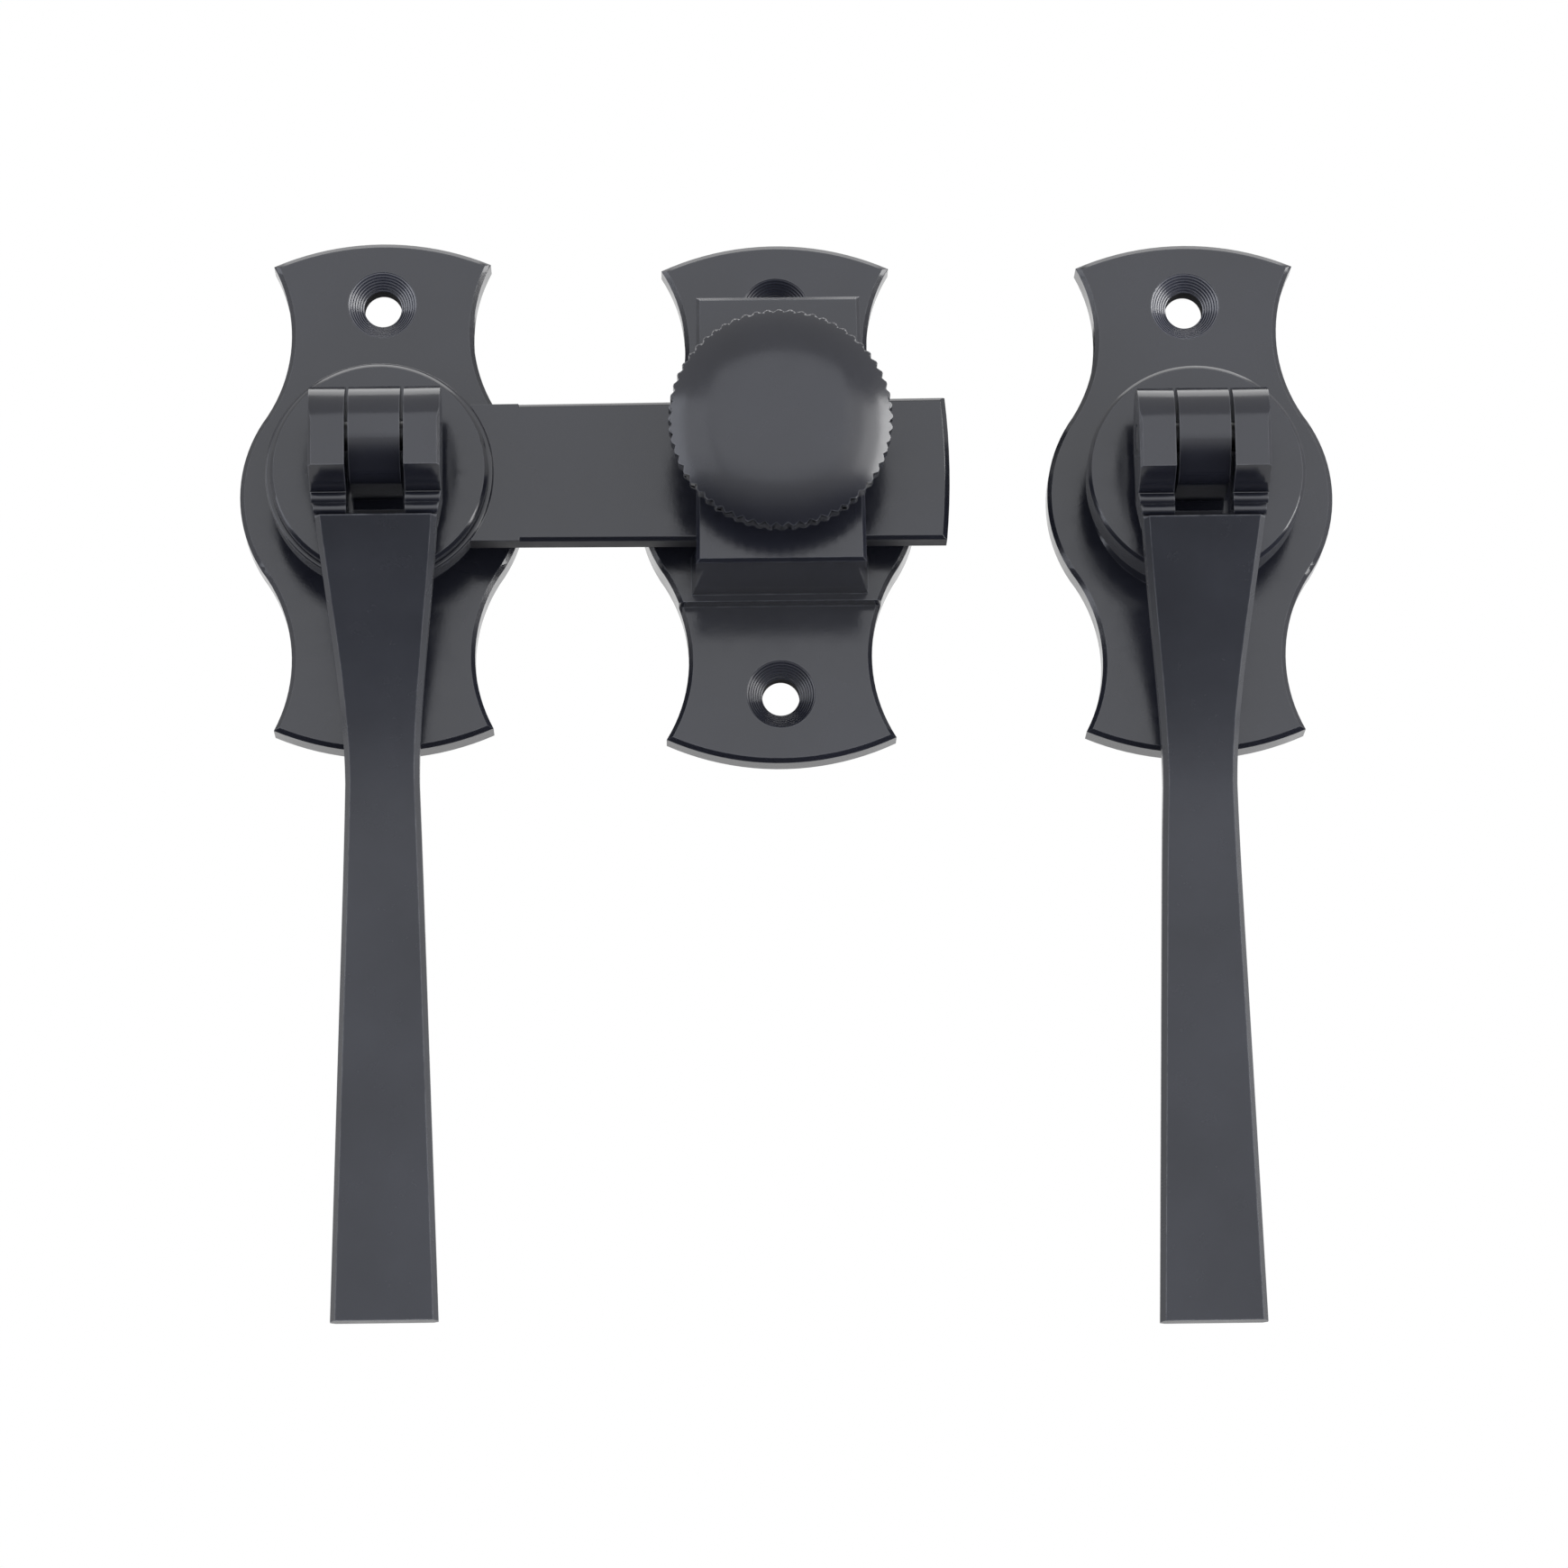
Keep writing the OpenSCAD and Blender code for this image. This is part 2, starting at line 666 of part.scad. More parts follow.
module clamp_screw() {
    edge = 0.8;
    color("#2e2f33") translate([keeper_at, 0, 0]) on_door() translate([0, screw_up, stud_tip]) {
        cylinder(d1 = stud_d - 2 * edge, d2 = stud_d, h = edge);
        translate([0, 0, edge]) cylinder(d = stud_d, h = stud_end - stud_tip - edge);
    }
}

// Toothed outline of the knurl, whose tips are turned flat by the round body
function knurl_points() = [for (i = [0:2 * knurl_teeth - 1])
    let (r = i % 2 == 0 ? knob_d / 2 + knurl_land : knob_d / 2 - knurl_depth, a = 180 * i / knurl_teeth)
    [r * cos(a), r * sin(a)]];

// Domed knob with a knurled rim and a hollow cone down to its collar
module clamp_knob() {
    color("#3b3c40") translate([keeper_at, 0, 0]) on_door() translate([0, screw_up, 0]) difference() {
        intersection() {
            translate([0, 0, collar_back - cut])
                linear_extrude(knob_rim_face + dome_rise - collar_back + 2 * cut) polygon(knurl_points());
            knob_body();
        }
        translate([0, 0, collar_back - cut]) cylinder(r = stud_d / 2 + stud_fit, h = stud_hold + cut + slip);
    }
}

module knob_body() {
    rim_edge = 0.5;
    dome_r = (pow(knob_d / 2, 2) + pow(dome_rise, 2)) / (2 * dome_rise);
    r = knob_d / 2;
    translate([0, 0, collar_back]) cylinder(d1 = collar_d, d2 = knob_d - 2 * rim_edge, h = cone_h);
    translate([0, 0, knob_rim_back]) cylinder(r1 = r - rim_edge, r2 = r, h = rim_edge);
    translate([0, 0, knob_rim_back + rim_edge]) cylinder(r = r, h = knob_rim_t - rim_edge);
    intersection() {
        translate([0, 0, knob_rim_face - sink]) cylinder(r = r, h = dome_rise + sink + cut);
        translate([0, 0, knob_rim_face + dome_rise - dome_r]) sphere(r = dome_r, $fn = 192);
    }
}

module inner_backplate() { handle_plate(); }
module inner_washer() { washer(); }
module inner_disc_spring() { disc_spring(); }
module inner_retaining_ring() { retaining_ring(); }
module inner_handle() { drop_handle(); }
module inner_hinge_pin() { hinge_pin(); }
module outer_backplate() { at_outer() handle_plate(); }
module outer_washer() { at_outer() washer(); }
module outer_disc_spring() { at_outer() disc_spring(); }
module outer_retaining_ring() { at_outer() retaining_ring(); }
module outer_handle() { at_outer() drop_handle(); }
module outer_hinge_pin() { at_outer() hinge_pin(); }

inner_backplate();
inner_boss();
latch_bar();
inner_washer();
inner_disc_spring();
inner_retaining_ring();
spindle();
spindle_pin();
inner_handle();
inner_hinge_pin();
keeper();
clamp_screw();
clamp_knob();
outer_backplate();
outer_boss();
outer_washer();
outer_disc_spring();
outer_retaining_ring();
grub_screw();
outer_handle();
outer_hinge_pin();
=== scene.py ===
import json
import math

import bpy
from bpy.props import FloatProperty, FloatVectorProperty, PointerProperty
from mathutils import Matrix, Vector

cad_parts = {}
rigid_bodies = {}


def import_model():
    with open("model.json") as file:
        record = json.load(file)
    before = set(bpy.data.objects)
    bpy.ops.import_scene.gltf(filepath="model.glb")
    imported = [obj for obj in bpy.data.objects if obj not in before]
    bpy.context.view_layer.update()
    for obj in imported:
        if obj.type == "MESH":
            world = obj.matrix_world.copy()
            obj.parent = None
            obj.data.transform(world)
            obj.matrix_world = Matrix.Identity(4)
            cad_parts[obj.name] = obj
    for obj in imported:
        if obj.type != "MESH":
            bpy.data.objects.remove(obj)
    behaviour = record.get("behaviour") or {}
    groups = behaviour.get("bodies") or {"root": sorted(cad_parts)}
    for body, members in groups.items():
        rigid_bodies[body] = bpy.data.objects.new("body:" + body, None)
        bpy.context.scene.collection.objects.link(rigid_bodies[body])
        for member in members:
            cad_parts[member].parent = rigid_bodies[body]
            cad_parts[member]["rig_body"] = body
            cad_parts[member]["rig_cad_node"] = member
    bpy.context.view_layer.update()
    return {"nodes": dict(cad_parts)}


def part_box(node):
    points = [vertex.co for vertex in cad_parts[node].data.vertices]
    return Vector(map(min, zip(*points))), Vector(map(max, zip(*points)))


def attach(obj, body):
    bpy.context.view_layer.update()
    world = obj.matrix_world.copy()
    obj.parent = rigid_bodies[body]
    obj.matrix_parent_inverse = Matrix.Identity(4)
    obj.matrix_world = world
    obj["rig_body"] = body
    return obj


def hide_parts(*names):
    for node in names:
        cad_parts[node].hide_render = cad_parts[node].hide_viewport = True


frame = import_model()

bl_info = {
    "name": "French door fastener",
    "version": (1, 0, 0),
    "blender": (4, 5, 0),
    "location": "View3D > Sidebar > Fastener",
    "description": "Finishes and lights a french door fastener around its packed model",
    "category": "Object",
}

MM = 0.001

# The (x, z) middle of each plate, and half the distance between its two screw holes
INNER_PLATE = (0, 0)
KEEPER_PLATE = (55 * MM, -1.4 * MM)
OUTER_PLATE = (112.4 * MM, -1.4 * MM)
HALF_HOLE_GAP = 27.5 * MM

# Faces this near to the middle of a hole belong to its countersink or to its bore
COUNTERSINK_REACH = 4.9 * MM
BORE_REACH = 2.8 * MM

# Distance between the rings that the cutter left in a countersink
RING_PITCH = 0.32 * MM

# Edges that are rounded less than the cast ones
PLATE_EDGE_ROUND = 0.14 * MM
KNOB_EDGE_ROUND = 0.1 * MM

# Depth of a handle's head, whose coat is that of the boss, under the top of its ears
HANDLE_HEAD = 18.15 * MM

# The clamp knob: the (x, z) of its axis, the height of its crown and its knurled rim
KNOB_AXIS = (55 * MM, 2.5 * MM)
CROWN_RISE = 3.6 * MM
CROWN_FOOT = 1.0 * MM
CROWN_RINGS = 26
CROWN_SPACING = 1.3
CROWN_FULLNESS = 3.2
KNURL_TEETH = 60
KNURL_TIP = 15.32 * MM
KNURL_ROOT = 14.75 * MM
KNURL_DEPTH = 12 * MM

# Merging distance and flatness for the triangles of a CAD copy
MERGE = 0.002 * MM
FLAT_DEGREES = 0.2

# The lamps stand round this point, between the two sets
LAMP_TARGET = Vector((55 * MM, -15 * MM, -20 * MM))
WHITE = (1, 1, 1)

# Name, azimuth and elevation in degrees, distance, size, radiance against a white surface, and colour
LAMPS = (
    ("Front soft box", 0, 8, 1.05, (1.2, 1.30), 1.10, (0.91, 0.94, 1.0)),
    ("Right strip", 71, -4, 1.2, (0.44, 1.3), 9, WHITE),
    ("Right middle strip", 52, -4, 1.2, (0.34, 1.1), 3.0, WHITE),
    ("Right inner strip", 37, 2, 1.2, (0.32, 1.0), 1.2, WHITE),
    ("Left strip", -70, 0, 1.2, (0.60, 1.2), 2.4, (0.86, 0.90, 1.0)),
    ("Left inner strip", -43, 2, 1.2, (0.50, 1.0), 1.3, (0.90, 0.93, 1.0)),
    ("Back strip", 180, 70, 1.1, (1.1, 0.60), 1.7, WHITE),
)

# Level of the white world on matte surfaces, and as the lens, reflections and glass see it
WORLD_ON_SURFACES = 0.32
WORLD_AS_SEEN = 1.0
FLOOR_AS_REFLECTED = 0.75

# Camera's place, and its pitch, yaw and roll in degrees
CAMERA_PLACE = (39.59 * MM, -962.0 * MM, -251.51 * MM)
CAMERA_TURN = (12.359, -0.935, -0.850)

# CAD nodes that nothing replaces, with the finish that each takes
HIDDEN_PARTS = {
    "inner_washer": "plated steel",
    "outer_washer": "plated steel",
    "spindle": "plated steel",
    "spindle_pin": "plated steel",
    "inner_disc_spring": "spring steel",
    "outer_disc_spring": "spring steel",
    "inner_retaining_ring": "spring steel",
    "outer_retaining_ring": "spring steel",
    "grub_screw": "blackened steel",
    "clamp_screw": "blackened steel",
    "inner_hinge_pin": "blackened steel",
    "outer_hinge_pin": "blackened steel",
}


class FastenerFinish(bpy.types.PropertyGroup):
    coat_color: FloatVectorProperty(
        name="Coat colour", description="Colour of the satin black coat",
        default=(0.0112, 0.0120, 0.0175), size=3, min=0, max=1, subtype="COLOR")
    handle_color: FloatVectorProperty(
        name="Handle colour", description="Colour of the coat on the two drop handles",
        default=(0.0270, 0.0285, 0.0350), size=3, min=0, max=1, subtype="COLOR")
    # Pale edge colour: partly the coat rubbed thin, partly a painted highlight along the edges
    edge_wear_and_highlight_color: FloatVectorProperty(
        name="Edge colour", description="Colour of the coat where it is thin on an edge",
        default=(0.10, 0.103, 0.115), size=3, min=0, max=1, subtype="COLOR")
    coat_roughness: FloatProperty(
        name="Coat roughness", description="How matte the black coat is",
        default=0.16, min=0.05, max=1, subtype="FACTOR")
    dust_color: FloatVectorProperty(
        name="Dust colour", description="Colour of the few pale specks on the coat",
        default=(0.24, 0.24, 0.25), size=3, min=0, max=1, subtype="COLOR")
    edge_round: FloatProperty(
        name="Edge round", description="Radius to which the cast edges are rounded",
        default=0.22 * MM, min=0.02 * MM, max=0.6 * MM, unit="LENGTH")
    # Width of the pale edges, which are partly rubbed coat and partly a painted highlight
    wear_and_highlight_width: FloatProperty(
        name="Wear width", description="Width of the thin coat along an edge",
        default=0.30 * MM, min=0.05 * MM, max=1 * MM, unit="LENGTH")


class FastenerStage(bpy.types.PropertyGroup):
    floor_color: FloatVectorProperty(
        name="Floor colour", description="Colour of the pale floor",
        default=(0.82, 0.82, 0.82), size=3, min=0, max=1, subtype="COLOR")
    floor_drop: FloatProperty(
        name="Floor drop", description="How far the floor lies under the door face's origin",
        default=0.42, min=0.1, max=2, unit="LENGTH")
    lens: FloatProperty(
        name="Lens", description="Focal length of the camera in millimetres",
        default=163.0, min=20, max=400)


def new_material(name):
    """A node material and its shader. The shader is None if the material was there already."""
    found = bpy.data.materials.get(name)
    if found:
        return found, None
    material = bpy.data.materials.new(name)
    material.use_nodes = True
    return material, material.node_tree.nodes["Principled BSDF"]


def add_node(tree, kind, **values):
    """A node of that kind, with its properties and its unlinked inputs set."""
    node = tree.nodes.new(kind)
    for key, value in values.items():
        if key in node.inputs:
            node.inputs[key].default_value = value
        else:
            setattr(node, key, value)
    return node


def noise(tree, place, scale, detail=3.0, roughness=0.5):
    """The grey of a noise pattern on Object coordinates, whose scale is in features per metre."""
    node = add_node(tree, "ShaderNodeTexNoise", Scale=scale, Detail=detail, Roughness=roughness)
    tree.links.new(place.outputs["Object"], node.inputs["Vector"])
    return node.outputs["Fac"]


def ramp(tree, source, stops):
    """The colour of a ramp with (position, grey) or (position, colour) stops."""
    node = add_node(tree, "ShaderNodeValToRGB")
    marks = node.color_ramp.elements
    while len(marks) < len(stops):
        marks.new(0.5)
    for mark, (position, tone) in zip(marks, stops):
        mark.position = position
        mark.color = (tone, tone, tone, 1) if isinstance(tone, (int, float)) else (*tone, 1)
    tree.links.new(source, node.inputs["Fac"])
    return node.outputs["Color"]


def clouded(tree, source, color, dark, pale):
    """A colour that drifts with source between dark and pale times itself."""
    return ramp(tree, source, [(0.3, [c * dark for c in color]), (0.7, [c * pale for c in color])])


def mix(tree, share, a, b):
    """A colour mix. share and a are sockets, b is a colour."""
    node = add_node(tree, "ShaderNodeMix", data_type="RGBA")
    tree.links.new(share, node.inputs[0])
    tree.links.new(a, node.inputs[6])
    node.inputs[7].default_value = (*b, 1)
    return node.outputs[2]


def math_node(tree, operation, *values):
    """The result of a Math node. A value is a socket or a number."""
    node = add_node(tree, "ShaderNodeMath", operation=operation)
    for socket, value in zip(node.inputs, values):
        if isinstance(value, bpy.types.NodeSocket):
            tree.links.new(value, socket)
        else:
            socket.default_value = value
    return node.outputs[0]


def bump(tree, height, strength, distance, under=None):
    """The normal of a bump, laid over the normal under if there is one."""
    node = add_node(tree, "ShaderNodeBump", Strength=strength, Distance=distance)
    tree.links.new(height, node.inputs["Height"])
    if under:
        tree.links.new(under, node.inputs["Normal"])
    return node.outputs["Normal"]


def edge_wear_and_highlight_mask(tree, radius):
    """A mask that is 1 on edges, where the rounded normal leaves the real one. It places the pale edges,
    which are partly rubbed coat and partly a painted highlight.
    """
    geometry = add_node(tree, "ShaderNodeNewGeometry")
    rounded = add_node(tree, "ShaderNodeBevel", samples=6, Radius=radius)
    dot = add_node(tree, "ShaderNodeVectorMath", operation="DOT_PRODUCT")
    tree.links.new(geometry.outputs["Normal"], dot.inputs[0])
    tree.links.new(rounded.outputs["Normal"], dot.inputs[1])
    return ramp(tree, dot.outputs["Value"], [(0.90, 1.0), (0.99, 0.0)])


def coat(name, color, roughness, grain=1.0, shine=0.5, wear_and_highlight=0.5, rings=None):
    """Satin black coat over a casting.

    grain is the strength of its relief, shine its specular level and wear how far its edges are paled,
    partly by rubbing and partly by a painted highlight.
    rings is the (x, z) middle of a plate whose countersinks show the cutter's rings.
    """
    material, shader = new_material(name)
    if shader is None:
        return material
    tree = material.node_tree
    place = add_node(tree, "ShaderNodeTexCoord")
    tree.links.new(coat_tone(tree, place, color, wear_and_highlight), shader.inputs["Base Color"])
    dull = ramp(tree, noise(tree, place, scale=240, detail=4, roughness=0.65),
                [(0.25, roughness - 0.05), (0.75, roughness + 0.06)])
    tree.links.new(dull, shader.inputs["Roughness"])
    shader.inputs["Specular IOR Level"].default_value = shine
    tree.links.new(coat_relief(tree, place, grain, rings), shader.inputs["Normal"])
    return material


def coat_tone(tree, place, color, wear_and_highlight):
    """The coat's colour: faint mottling, a few pale specks, and pale edges that are partly coat rubbed thin
    and partly a painted highlight.
    """
    finish = bpy.context.scene.fastener_finish
    mottle = clouded(tree, noise(tree, place, scale=55), color, 0.84, 1.14)
    dots = add_node(tree, "ShaderNodeTexVoronoi", Scale=150, Randomness=1.0)
    tree.links.new(place.outputs["Object"], dots.inputs["Vector"])
    specks = ramp(tree, dots.outputs["Distance"], [(0.014, 1.0), (0.030, 0.0)])
    chosen = ramp(tree, noise(tree, place, scale=130, detail=1), [(0.68, 0.0), (0.71, 1.0)])
    dusted = mix(tree, math_node(tree, "MULTIPLY", specks, chosen), mottle, finish.dust_color)
    # Pale edges: partly rubbed coat, partly a painted highlight along every edge
    wear_and_highlight_patches = ramp(tree, noise(tree, place, scale=380, roughness=0.6), [(0.30, 0.25 * wear_and_highlight), (0.62, wear_and_highlight)])
    edge = math_node(tree, "MULTIPLY", edge_wear_and_highlight_mask(tree, finish.wear_and_highlight_width), wear_and_highlight_patches)
    return mix(tree, edge, dusted, finish.edge_wear_and_highlight_color)


def coat_relief(tree, place, grain, rings):
    """The coat's normal: fine grain, soft waves and, with rings, the marks of the cutter."""
    fine = bump(tree, noise(tree, place, scale=2200, roughness=0.6), 0.12 * grain, 0.05 * MM)
    waves = bump(tree, noise(tree, place, scale=170, detail=2), 0.22 * grain, 0.06 * MM, fine)
    if rings is None:
        return waves
    return bump(tree, turned_rings(tree, place, *rings), 0.7, 0.04 * MM, waves)


def turned_rings(tree, place, x, z):
    """The height of fine rings round both screw holes of a plate."""
    parts = add_node(tree, "ShaderNodeSeparateXYZ")
    tree.links.new(place.outputs["Object"], parts.inputs[0])
    across = math_node(tree, "SUBTRACT", parts.outputs["X"], x)
    along = math_node(tree, "SUBTRACT", parts.outputs["Z"], z)
    along = math_node(tree, "ABSOLUTE", along)
    along = math_node(tree, "SUBTRACT", along, HALF_HOLE_GAP)
    far = math_node(tree, "ADD", math_node(tree, "MULTIPLY", across, across),
                    math_node(tree, "MULTIPLY", along, along))
    turns = math_node(tree, "MULTIPLY", math_node(tree, "SQRT", far), 2 * math.pi / RING_PITCH)
    return math_node(tree, "SINE", turns)


def bare_steel(name, color, roughness, metallic):
    """Plated, blackened or spring steel, with fine drawn lines and a cloudy tone."""
    material, shader = new_material(name)
    if shader is None:
        return material
    tree = material.node_tree
    place = add_node(tree, "ShaderNodeTexCoord")
    cloud = clouded(tree, noise(tree, place, scale=160, detail=4), color, 0.82, 1.12)
    tree.links.new(cloud, shader.inputs["Base Color"])
    shader.inputs["Metallic"].default_value = metallic
    stretch = add_node(tree, "ShaderNodeMapping", Scale=(1, 0.05, 1))
    tree.links.new(place.outputs["Object"], stretch.inputs["Vector"])
    lines = add_node(tree, "ShaderNodeTexNoise", Scale=3200, Detail=2)
    tree.links.new(stretch.outputs["Vector"], lines.inputs["Vector"])
    dull = ramp(tree, lines.outputs["Fac"], [(0.3, roughness - 0.06), (0.7, roughness + 0.08)])
    tree.links.new(dull, shader.inputs["Roughness"])
    tree.links.new(bump(tree, lines.outputs["Fac"], 0.15, 0.02 * MM), shader.inputs["Normal"])
    return material


def matte(name, scale, detail, dark, pale, roughness, shine):
    """A dull dark surface that drifts between two colours."""
    material, shader = new_material(name)
    if shader is None:
        return material
    tree = material.node_tree
    place = add_node(tree, "ShaderNodeTexCoord")
    tone = ramp(tree, noise(tree, place, scale, detail), [(0.3, dark), (0.7, pale)])
    tree.links.new(tone, shader.inputs["Base Color"])
    shader.inputs["Roughness"].default_value = roughness
    shader.inputs["Specular IOR Level"].default_value = shine
    return material


def graded_card():
    """A card that fades from pale at its front edge to black under the fastener."""
    material, shader = new_material("graded_card")
    if shader is None:
        return material
    tree = material.node_tree
    place = add_node(tree, "ShaderNodeTexCoord")
    parts = add_node(tree, "ShaderNodeSeparateXYZ")
    tree.links.new(place.outputs["Object"], parts.inputs[0])
    cloud = math_node(tree, "MULTIPLY", noise(tree, place, scale=8, detail=2), 0.02)
    forward = math_node(tree, "MULTIPLY", math_node(tree, "ADD", parts.outputs["Y"], cloud), -0.9)
    fade = ramp(tree, forward, [(0.10, 0.03), (0.20, 0.07), (0.29, 0.18), (0.44, 0.52), (0.62, 0.88),
                                (0.80, 1.0)])
    glow = add_node(tree, "ShaderNodeEmission", Strength=1.0)
    tree.links.new(fade, glow.inputs["Color"])
    tree.links.new(glow.outputs["Emission"], tree.nodes["Material Output"].inputs["Surface"])
    material.cycles.emission_sampling = "NONE"
    return material


def finish_of(name):
    """The finish of that name, made the first time it is asked for."""
    looks = bpy.context.scene.fastener_finish
    if name == "black coat":
        return coat("black_coat", looks.coat_color, looks.coat_roughness)
    if name == "knob coat":
        return coat("knob_coat", looks.coat_color, looks.coat_roughness + 0.04)
    # The handle coat takes the strongest pale edges, partly rubbing and partly painted highlight
    if name == "handle coat":
        return coat("handle_coat", looks.handle_color, looks.coat_roughness + 0.08,
                    grain=0.8, shine=0.24, wear_and_highlight=1.0)
    if name == "sawn edge":
        return coat("sawn_edge", looks.coat_color, 0.55, grain=1.6, shine=0.3)
    # The bores of the holes: a dull dark finish that is painted shade in the hole
    if name == "bore with painted shade":
        return matte("bore_painted_shade", 900, 3, (0.007, 0.007, 0.008), (0.016, 0.016, 0.018),
                     roughness=0.85, shine=0.08)
    if name == "dark felt":
        return matte("dark_felt", 300, 2, 0.006, 0.012, roughness=0.9, shine=0.1)
    if name == "plated steel":
        return bare_steel("plated_steel", (0.44, 0.445, 0.46), roughness=0.32, metallic=1.0)
    if name == "spring steel":
        return bare_steel("spring_steel", (0.24, 0.24, 0.25), roughness=0.38, metallic=1.0)
    if name == "blackened steel":
        return bare_steel("blackened_steel", (0.05, 0.05, 0.055), roughness=0.36, metallic=0.4)
    raise RuntimeError(f"there is no finish named {name}")


def deselect():
    """Leaves edit mode and drops the selection."""
    if bpy.context.object and bpy.context.object.mode != "OBJECT":
        bpy.ops.object.mode_set(mode="OBJECT")
    bpy.ops.object.select_all(action="DESELECT")


def activate(piece):
    """Makes piece the only selected object and the active one."""
    deselect()
    piece.select_set(True)
    bpy.context.view_layer.objects.active = piece


def cast_copy(node, name):
    """A new piece with the shape of a CAD node, its loose triangles merged and its flats made whole."""
    activate(frame["nodes"][node])
    bpy.ops.object.duplicate(linked=False)
    piece = bpy.context.object
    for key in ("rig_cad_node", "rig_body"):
        del piece[key]
    piece.parent = None
    piece.name = piece.data.name = name
    bpy.ops.object.mode_set(mode="EDIT")
    bpy.ops.mesh.select_all(action="SELECT")
    bpy.ops.mesh.remove_doubles(threshold=MERGE)
    bpy.ops.mesh.dissolve_degenerate(threshold=MERGE)
    bpy.ops.mesh.dissolve_limited(angle_limit=math.radians(FLAT_DEGREES))
    bpy.ops.object.mode_set(mode="OBJECT")
    return piece


def round_edges(piece, width):
    """Rounds every edge sharper than 24 degrees, and smooths the rest."""
    activate(piece)
    bevel = piece.modifiers.new("Rounded edges", "BEVEL")
    bevel.width = width
    bevel.segments = 2
    bevel.limit_method = "ANGLE"
    bevel.angle_limit = math.radians(24)
    bevel.use_clamp_overlap = True
    bpy.ops.object.modifier_apply(modifier=bevel.name)
    bpy.ops.object.shade_smooth_by_angle(angle=math.radians(40))
    flats = piece.modifiers.new("Level flats", "WEIGHTED_NORMAL")
    flats.mode = "FACE_AREA"
    flats.weight = 100
    flats.keep_sharp = True
    bpy.ops.object.modifier_apply(modifier=flats.name)


def fit(piece, body, nodes, material):
    """Gives a finished piece its finish and its body, and hides the CAD nodes it stands for."""
    piece.data.materials.clear()
    piece.data.materials.append(finish_of(material))
    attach(piece, body)
    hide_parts(*nodes)
    deselect()


def cast_piece(node, name, body, material, width=None):
    """A rounded copy of a CAD node, finished and fitted."""
    piece = cast_copy(node, name)
    round_edges(piece, width or bpy.context.scene.fastener_finish.edge_round)
    fit(piece, body, [node], material)
    return piece


def turn_countersinks(piece, x, z, bare=2.6):
    """Gives the two countersinks of a plate the rings that the cutter left, and their bores a dull dark
    finish that is painted shade.

    bare is how many times paler and shinier than the coat they are.
    """
    looks = bpy.context.scene.fastener_finish
    turned = coat(piece.name + "_turned", [c * bare for c in looks.coat_color], looks.coat_roughness + 0.06,
                  shine=0.42 * bare, rings=(x, z))
    piece.data.materials.append(turned)
    piece.data.materials.append(finish_of("bore with painted shade"))
    for face in piece.data.polygons:
        off = math.hypot(face.center.x - x, abs(face.center.z - z) - HALF_HOLE_GAP)
        tilt = abs(face.normal.y)
        if off < COUNTERSINK_REACH and tilt < 0.95:
            # Bore faces take the dull dark finish that paints the shade in the hole
            face.material_index = 2 if tilt < 0.2 and off < BORE_REACH else 1


class FASTENER_OT_backplates(bpy.types.Operator):
    """Finish the inner and the outer backplate"""
    bl_idname = "fastener.backplates"
    bl_label = "Backplates"

    def execute(self, context):
        for side, middle in (("inner", INNER_PLATE), ("outer", OUTER_PLATE)):
            plate = cast_piece(side + "_backplate", side + "_backplate_cast", "plates", "black coat",
                               PLATE_EDGE_ROUND)
            turn_countersinks(plate, *middle)
        return {"FINISHED"}


class FASTENER_OT_bosses(bpy.types.Operator):
    """Finish the two turning bosses with their knuckles"""
    bl_idname = "fastener.bosses"
    bl_label = "Bosses"

    def execute(self, context):
        cast_piece("inner_boss", "inner_boss_cast", "inner_latch", "black coat")
        cast_piece("outer_boss", "outer_boss_cast", "outer_turner", "black coat")
        return {"FINISHED"}


class FASTENER_OT_latch_bar(bpy.types.Operator):
    """Finish the latch bar with its round eye"""
    bl_idname = "fastener.latch_bar"
    bl_label = "Latch bar"

    def execute(self, context):
        bar = cast_piece("latch_bar", "latch_bar_cast", "inner_latch", "black coat")
        bar.data.materials.append(finish_of("sawn edge"))
        for face in bar.data.polygons:
            if abs(face.normal.z) > 0.9:
                face.material_index = 1
        return {"FINISHED"}


class FASTENER_OT_handles(bpy.types.Operator):
    """Finish the two drop handles"""
    bl_idname = "fastener.handles"
    bl_label = "Drop handles"

    def execute(self, context):
        for side in ("inner", "outer"):
            handle = cast_piece(side + "_handle", side + "_handle_forged", side + "_drop", "handle coat")
            handle.data.materials.append(finish_of("black coat"))
            blade_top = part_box(side + "_handle")[1][2] - HANDLE_HEAD
            for face in handle.data.polygons:
                face.material_index = 1 if face.center.z > blade_top else 0
        return {"FINISHED"}


class FASTENER_OT_keeper(bpy.types.Operator):
    """Finish the keeper with its pad, web and strap"""
    bl_idname = "fastener.keeper"
    bl_label = "Keeper"

    def execute(self, context):
        keeper = cast_piece("keeper", "keeper_cast", "plates", "black coat")
        turn_countersinks(keeper, *KEEPER_PLATE, bare=1.4)
        return {"FINISHED"}


